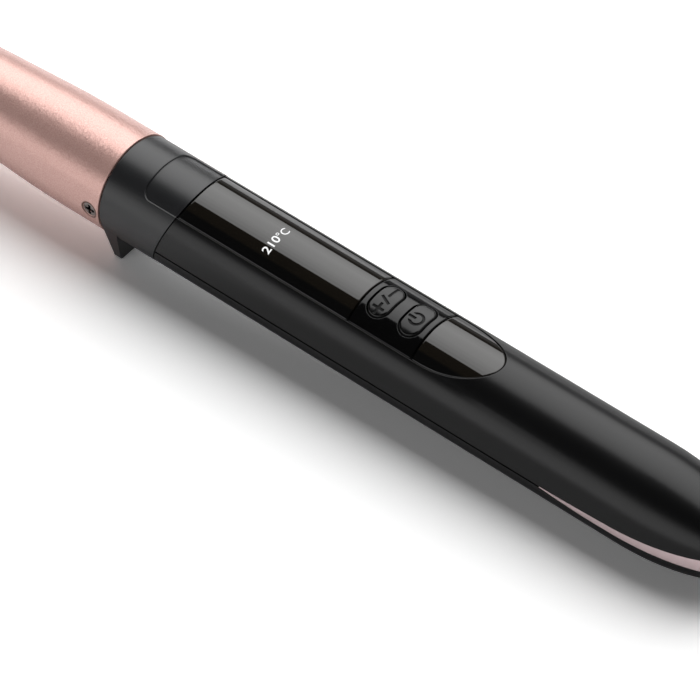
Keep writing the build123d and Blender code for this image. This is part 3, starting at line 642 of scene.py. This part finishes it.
# The solder joints, controller legs and chip resistors: small parts in rows on both faces of the
# board. Tin stands up in little cones round the pins, and the legs leave the controller's four sides.


def rows(along_board, across_board, height):
    """Every place where one of the distances along the board meets one across it."""
    return [(x, y, height) for x in along_board for y in across_board]


controller_middle = 62.8
leg_half = 3.0
leg_pitch = 0.65
legs_per_side = 8
leg_level = board_top + 0.16
leg_places = []
leg_facings = []
for x, y in ((1, 0), (-1, 0), (0, 1), (0, -1)):
    for step in range(legs_per_side):
        offset = (step - (legs_per_side - 1) / 2) * leg_pitch
        leg_places.append((controller_middle + x * leg_half - y * offset, y * leg_half + x * offset,
                           leg_level))
        leg_facings.append((x, y, 0))
leg_work = Setting("controller_legs", {"Thickness": 0.26, "Reach": 0.8})
leg = leg_work.block(leg_work.size("Thickness"), leg_work.size("Thickness"), leg_work.size("Reach"))
legs = leg_work.set_out(leg, leg_places, leg_facings, tinned_steel)
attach(legs, "wand")

under_joints = rows((47.0, 48.3, 49.6), (-4.0, 4.0), board_under)
under_joints += rows((76.0, 79.0), (-5.6, -2.0, 2.0, 5.6), board_under)
top_joints = rows((39.4, 42.8), (-6.2, 6.2), board_top)
top_joints += rows((64.8, 67.3, 69.8), (5.4,), board_top)
top_joints += rows((88.0, 94.0, 99.6, 103.2), (-4.7, 4.7), board_top)
solder_facings = [(0, 0, -1)] * len(under_joints) + [(0, 0, 1)] * len(top_joints)
solder_work = Setting("solder_joints", {"Foot radius": 0.75, "Top radius": 0.22, "Height": 0.6})
solder_cone = solder_work.node("GeometryNodeMeshCone", None,
                               {"Vertices": 20, "Radius Bottom": solder_work.size("Foot radius"),
                                "Radius Top": solder_work.size("Top radius"),
                                "Depth": solder_work.size("Height")})
solder = solder_work.set_out(solder_cone, under_joints + top_joints, solder_facings, tinned_steel)
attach(solder, "wand")

chip_level = board_top + 0.25
chip_places = rows((31.0, 34.0, 52.5, 55.5), (-4.2, -1.8, 1.8, 4.2), chip_level)
chip_places += rows((90.8, 97.0), (-2.4, 0.0, 2.4), chip_level)
chip_work = Setting("chip_resistors", {"Length": 1.6, "Width": 0.8, "Height": 0.5})
chip_body = chip_work.block(chip_work.size("Length"), chip_work.size("Width"), chip_work.size("Height"))
chips = chip_work.set_out(chip_body, chip_places, [(0, 0, 1)] * len(chip_places), epoxy)
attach(chips, "wand")

# The leads: silicone-insulated wires from the terminals to the heater, the thermistor and the
# brushes, white, yellow and brown.

lead_colours = {"white_silicone": ("heater_leads", (0.72, 0.72, 0.70, 1), (0.84, 0.84, 0.82, 1)),
                "yellow_silicone": ("sensor_leads", (0.66, 0.50, 0.07, 1), (0.78, 0.62, 0.14, 1)),
                "brown_silicone": ("supply_leads", (0.17, 0.075, 0.035, 1), (0.25, 0.12, 0.06, 1))}
for name, (lead, dark, light) in lead_colours.items():
    silicone = grained(name, size=0.7, detail=3.0, dark=dark, light=light, rough=0.5, spread=0.12,
                       depth=0.008, edge=0.1)
    shade(silicone, lead)

# The cord outlet: a turned nylon sleeve that swivels in the tail. Two brass slip rings on its stem run
# between sprung brass leaves on a block, so that the cord can turn for ever.

outlet_nylon = grained("outlet_nylon", size=0.14, detail=3.0, dark=(0.010, 0.010, 0.011, 1),
                       light=(0.017, 0.017, 0.018, 1), rough=0.40, spread=0.08, depth=0.008, edge=0.15)
shade(outlet_nylon, "swivel_sleeve")

# The table: a sheet of white paper that runs on beyond the picture. It takes the light and the shadow,
# is seen a little brighter than it shines, and beside the handle its reflection is painted grey, a painted
# shade in what the handle mirrors.

paper_half = 6.0
paper_corners = [(x * paper_half, y * paper_half, 0) for x, y in ((-1, -1), (1, -1), (1, 1), (-1, 1))]
paper_mesh = bpy.data.meshes.new("paper_sheet")
paper_mesh.from_pydata(paper_corners, [], [(0, 1, 2, 3)])
paper_sheet = bpy.data.objects.new("paper_sheet", paper_mesh)
bpy.context.scene.collection.objects.link(paper_sheet)

plain_dark = (0.93, 0.93, 0.935, 1)
plain_light = (0.95, 0.95, 0.955, 1)
seen_dark = grey(1.32)
seen_light = grey(1.35)
seen_glow = grey(0.02)
painted_reflection_grey = grey(0.5)
reflected_shade_span = (-25.0, 35.0)
paper = Finish("white_paper")
paper_fibre = paper.grain(size=0.6, detail=4.0)
seen_ray = paper.node("ShaderNodeLightPath", output="Is Camera Ray")
mirror_ray = paper.node("ShaderNodeLightPath", output="Is Glossy Ray")
plain_paper = paper.blend(paper_fibre, plain_dark, plain_light)
# Painted shade: in reflections, the paper beside the handle is painted grey.
beside_handle = paper.fade(paper.axis("X"), *reflected_shade_span)
mirrored_paper = paper.blend(mirror_ray * beside_handle, plain_paper, painted_reflection_grey)
seen_paper = paper.blend(paper_fibre, seen_dark, seen_light)
paper.surface(Base_Color=paper.blend(seen_ray, mirrored_paper, seen_paper), Roughness=0.95,
              Specular_IOR_Level=0.0, Emission_Strength=1.0,
              Emission_Color=paper.blend(seen_ray, grey(0.0), seen_glow))
paper_mesh.materials.append(paper.material)

# The light: a large softbox behind and above the wand, whose near edge hangs right over it and whose
# middle is brightest, and a white card in front. The room is dark, but looks white to the camera.

wand_middle = Vector((0.06, 0.0, 0.015))
panel_width = 2.2
panel_distance = 1.0
panel_shift = Vector((-0.45, 0, 0))


def soft_panel(name, start, end, radiance):
    """A panel that faces the wand, between two angles from the zenith towards the back."""
    turn = math.radians((start + end) / 2)
    lamp = bpy.data.lights.new(name, "AREA")
    lamp.shape = "RECTANGLE"
    lamp.size = panel_width
    lamp.size_y = 2 * panel_distance * math.tan(math.radians((end - start) / 2))
    lamp.energy = radiance * math.pi * lamp.size * lamp.size_y
    made = bpy.data.objects.new(name, lamp)
    out = Vector((0, math.sin(turn), math.cos(turn)))
    made.location = wand_middle + out * panel_distance + panel_shift
    made.rotation_euler = out.to_track_quat("Z", "Y").to_euler()
    made.visible_camera = False
    bpy.context.scene.collection.objects.link(made)


# Each strip has the angles of its two edges and its radiance.
strips = {"white_card": ((-92, -63, 1.25), (-63, -56, 0.65)),
          "softbox": ((0, 8, 1.95), (8, 16, 2.25), (16, 24, 2.5), (24, 54, 2.7), (54, 61, 2.4),
                      (61, 67, 2.05), (67, 72, 1.7))}
for name, panels in strips.items():
    for start, end, radiance in panels:
        soft_panel(name, start, end, radiance)

room_glow = grey(0.03)
haze_glow = grey(0.25)
haze_rise = (0.25, 0.0)
world = bpy.data.worlds.new("studio")
bpy.context.scene.world = world
world.use_nodes = True
room = Nodework(world.node_tree)
room_seen = room.node("ShaderNodeLightPath", output="Is Camera Ray")
room_way = room.node("ShaderNodeTexCoord", output="Generated")
room_rise = room.node("ShaderNodeSeparateXYZ", None, {0: room_way}, "Z")
studio = room.blend(room.fade(room_rise, *haze_rise), room_glow, haze_glow)
room.feed(world.node_tree.nodes["Background"].inputs["Color"], room.blend(room_seen, studio, grey(1.0)))

# The camera: a long lens on the near side, above the handle. Its place, tilt and focal length were
# fitted to the photograph, so that the wand runs out of the frame at both ends as it does there.

photo_eye = Vector((466.9, -483.3, 706.6)) * mm
photo_target = Vector((69.5763, -8.0881, 0.0)) * mm
photo_roll = math.radians(-0.7792)
photo_pixels = 700
photo_focus = 4309.12
camera_data = bpy.data.cameras.new("camera")
camera_data.sensor_width = 36.0
camera_data.lens = photo_focus / photo_pixels * camera_data.sensor_width
camera = bpy.data.objects.new("camera", camera_data)
bpy.context.scene.collection.objects.link(camera)
gaze = (photo_target - photo_eye).to_track_quat("-Z", "Y").to_matrix().to_4x4()
camera.matrix_world = stand @ Matrix.Translation(photo_eye) @ gaze @ Matrix.Rotation(photo_roll, 4, "Z")
bpy.context.scene.camera = camera
bpy.context.scene.view_settings.view_transform = "Standard"
